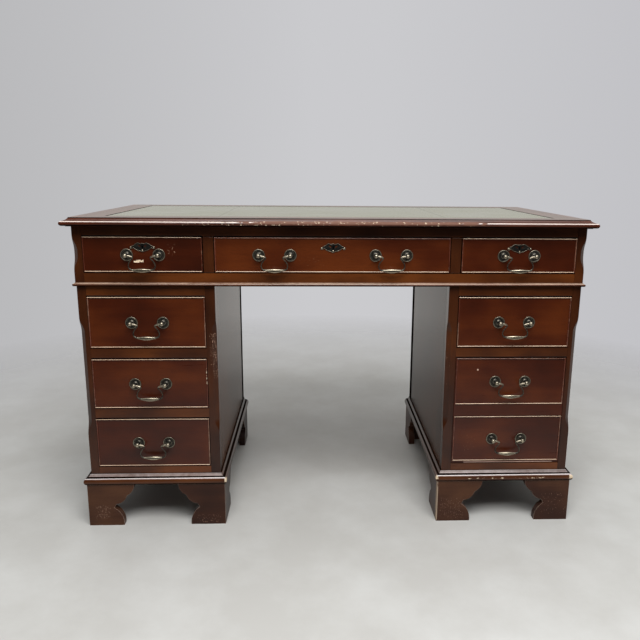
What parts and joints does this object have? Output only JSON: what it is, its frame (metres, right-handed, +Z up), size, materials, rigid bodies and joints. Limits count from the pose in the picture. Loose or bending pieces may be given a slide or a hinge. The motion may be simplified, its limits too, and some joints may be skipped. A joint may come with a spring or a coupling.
{
  "type": "pedestal desk",
  "caption": "Twin-pedestal kneehole writing desk in mahogany: leather-lined top, frieze and pedestal drawers with brass swan-neck bail pulls, on bracket feet.",
  "frame": {"origin": "on the floor, under the middle of the desk", "axes": "+X along the desk to the sitter's right, +Y from the front to the back, +Z up; the drawers slide out towards -Y"},
  "size_m": [1.22, 0.6, 0.76],
  "materials": {
    "mahogany": "satin lacquer over red-brown stain",
    "lining_wood": "plain waxed",
    "leather": "waxed hide with gilt tooled border",
    "antique_brass": "dark patina, worn bright on the high spots",
    "lock_steel": "dull plated"
  },
  "bodies": {
    "carcase": {"top_board": "mahogany", "top_edge_moulding": "mahogany", "writing_leather": "leather", "frieze_panels": "mahogany", "frieze_front_frame": "mahogany", "frieze_runners": "lining_wood", "frieze_bead_moulding": "mahogany", "left_pedestal_panels": "mahogany", "left_pedestal_front_frame": "mahogany", "left_drawer_runners": "lining_wood", "left_plinth_moulding": "mahogany", "left_bracket_feet": "mahogany", "right_pedestal_panels": "mahogany", "right_pedestal_front_frame": "mahogany", "right_drawer_runners": "lining_wood", "right_plinth_moulding": "mahogany", "right_bracket_feet": "mahogany"},
    "left_frieze_drawer": {"left_frieze_front": "mahogany", "left_frieze_box": "lining_wood", "left_frieze_pull_posts": "antique_brass", "left_frieze_lock_case": "lock_steel", "left_frieze_escutcheon": "antique_brass"},
    "left_frieze_bail": {"left_frieze_bail": "antique_brass"},
    "left_frieze_lock_bolt": {"left_frieze_lock_bolt": "lock_steel"},
    "centre_frieze_drawer": {"centre_frieze_front": "mahogany", "centre_frieze_box": "lining_wood", "centre_frieze_pull_posts": "antique_brass", "centre_frieze_lock_case": "lock_steel", "centre_frieze_escutcheon": "antique_brass"},
    "centre_frieze_left_bail": {"centre_frieze_left_bail": "antique_brass"},
    "centre_frieze_right_bail": {"centre_frieze_right_bail": "antique_brass"},
    "centre_frieze_lock_bolt": {"centre_frieze_lock_bolt": "lock_steel"},
    "right_frieze_drawer": {"right_frieze_front": "mahogany", "right_frieze_box": "lining_wood", "right_frieze_pull_posts": "antique_brass", "right_frieze_lock_case": "lock_steel", "right_frieze_escutcheon": "antique_brass"},
    "right_frieze_bail": {"right_frieze_bail": "antique_brass"},
    "right_frieze_lock_bolt": {"right_frieze_lock_bolt": "lock_steel"},
    "left_upper_drawer": {"left_upper_front": "mahogany", "left_upper_box": "lining_wood", "left_upper_pull_posts": "antique_brass"},
    "left_upper_bail": {"left_upper_bail": "antique_brass"},
    "left_middle_drawer": {"left_middle_front": "mahogany", "left_middle_box": "lining_wood", "left_middle_pull_posts": "antique_brass"},
    "left_middle_bail": {"left_middle_bail": "antique_brass"},
    "left_lower_drawer": {"left_lower_front": "mahogany", "left_lower_box": "lining_wood", "left_lower_pull_posts": "antique_brass"},
    "left_lower_bail": {"left_lower_bail": "antique_brass"},
    "right_upper_drawer": {"right_upper_front": "mahogany", "right_upper_box": "lining_wood", "right_upper_pull_posts": "antique_brass"},
    "right_upper_bail": {"right_upper_bail": "antique_brass"},
    "right_file_drawer": {"right_file_front": "mahogany", "right_file_box": "lining_wood", "right_file_pull_posts": "antique_brass"},
    "right_file_upper_bail": {"right_file_upper_bail": "antique_brass"},
    "right_file_lower_bail": {"right_file_lower_bail": "antique_brass"}
  },
  "joints": [
    {"name": "left_frieze_slide", "type": "slide", "parent": "carcase", "child": "left_frieze_drawer", "axis": [0, -1, 0], "range_m": [0, 0.37]},
    {"name": "left_frieze_bail_swing", "type": "hinge", "parent": "left_frieze_drawer", "child": "left_frieze_bail", "pos_m": [-0.435, -0.289, 0.675], "axis": [-1, 0, 0], "range_deg": [-14, 100]},
    {"name": "left_frieze_bolt_throw", "type": "slide", "parent": "left_frieze_drawer", "child": "left_frieze_lock_bolt", "axis": [0, 0, 1], "range_m": [0, 0.007]},
    {"name": "centre_frieze_slide", "type": "slide", "parent": "carcase", "child": "centre_frieze_drawer", "axis": [0, -1, 0], "range_m": [0, 0.37]},
    {"name": "centre_frieze_left_bail_swing", "type": "hinge", "parent": "centre_frieze_drawer", "child": "centre_frieze_left_bail", "pos_m": [-0.135, -0.289, 0.675], "axis": [-1, 0, 0], "range_deg": [-14, 100]},
    {"name": "centre_frieze_right_bail_swing", "type": "hinge", "parent": "centre_frieze_drawer", "child": "centre_frieze_right_bail", "pos_m": [0.135, -0.289, 0.675], "axis": [-1, 0, 0], "range_deg": [-14, 100]},
    {"name": "centre_frieze_bolt_throw", "type": "slide", "parent": "centre_frieze_drawer", "child": "centre_frieze_lock_bolt", "axis": [0, 0, 1], "range_m": [0, 0.007]},
    {"name": "right_frieze_slide", "type": "slide", "parent": "carcase", "child": "right_frieze_drawer", "axis": [0, -1, 0], "range_m": [0, 0.37]},
    {"name": "right_frieze_bail_swing", "type": "hinge", "parent": "right_frieze_drawer", "child": "right_frieze_bail", "pos_m": [0.435, -0.289, 0.675], "axis": [-1, 0, 0], "range_deg": [-14, 100]},
    {"name": "right_frieze_bolt_throw", "type": "slide", "parent": "right_frieze_drawer", "child": "right_frieze_lock_bolt", "axis": [0, 0, 1], "range_m": [0, 0.007]},
    {"name": "left_upper_slide", "type": "slide", "parent": "carcase", "child": "left_upper_drawer", "axis": [0, -1, 0], "range_m": [0, 0.39]},
    {"name": "left_upper_bail_swing", "type": "hinge", "parent": "left_upper_drawer", "child": "left_upper_bail", "pos_m": [-0.4345, -0.285, 0.515], "axis": [-1, 0, 0], "range_deg": [-14, 100]},
    {"name": "left_middle_slide", "type": "slide", "parent": "carcase", "child": "left_middle_drawer", "axis": [0, -1, 0], "range_m": [0, 0.39]},
    {"name": "left_middle_bail_swing", "type": "hinge", "parent": "left_middle_drawer", "child": "left_middle_bail", "pos_m": [-0.4345, -0.285, 0.365], "axis": [-1, 0, 0], "range_deg": [-14, 100]},
    {"name": "left_lower_slide", "type": "slide", "parent": "carcase", "child": "left_lower_drawer", "axis": [0, -1, 0], "range_m": [0, 0.39]},
    {"name": "left_lower_bail_swing", "type": "hinge", "parent": "left_lower_drawer", "child": "left_lower_bail", "pos_m": [-0.4345, -0.285, 0.215], "axis": [-1, 0, 0], "range_deg": [-14, 100]},
    {"name": "right_upper_slide", "type": "slide", "parent": "carcase", "child": "right_upper_drawer", "axis": [0, -1, 0], "range_m": [0, 0.39]},
    {"name": "right_upper_bail_swing", "type": "hinge", "parent": "right_upper_drawer", "child": "right_upper_bail", "pos_m": [0.4345, -0.285, 0.515], "axis": [-1, 0, 0], "range_deg": [-14, 100]},
    {"name": "right_file_slide", "type": "slide", "parent": "carcase", "child": "right_file_drawer", "axis": [0, -1, 0], "range_m": [0, 0.39]},
    {"name": "right_file_upper_bail_swing", "type": "hinge", "parent": "right_file_drawer", "child": "right_file_upper_bail", "pos_m": [0.4345, -0.285, 0.367], "axis": [-1, 0, 0], "range_deg": [-14, 100]},
    {"name": "right_file_lower_bail_swing", "type": "hinge", "parent": "right_file_drawer", "child": "right_file_lower_bail", "pos_m": [0.4345, -0.285, 0.218], "axis": [-1, 0, 0], "range_deg": [-14, 100]}
  ]
}
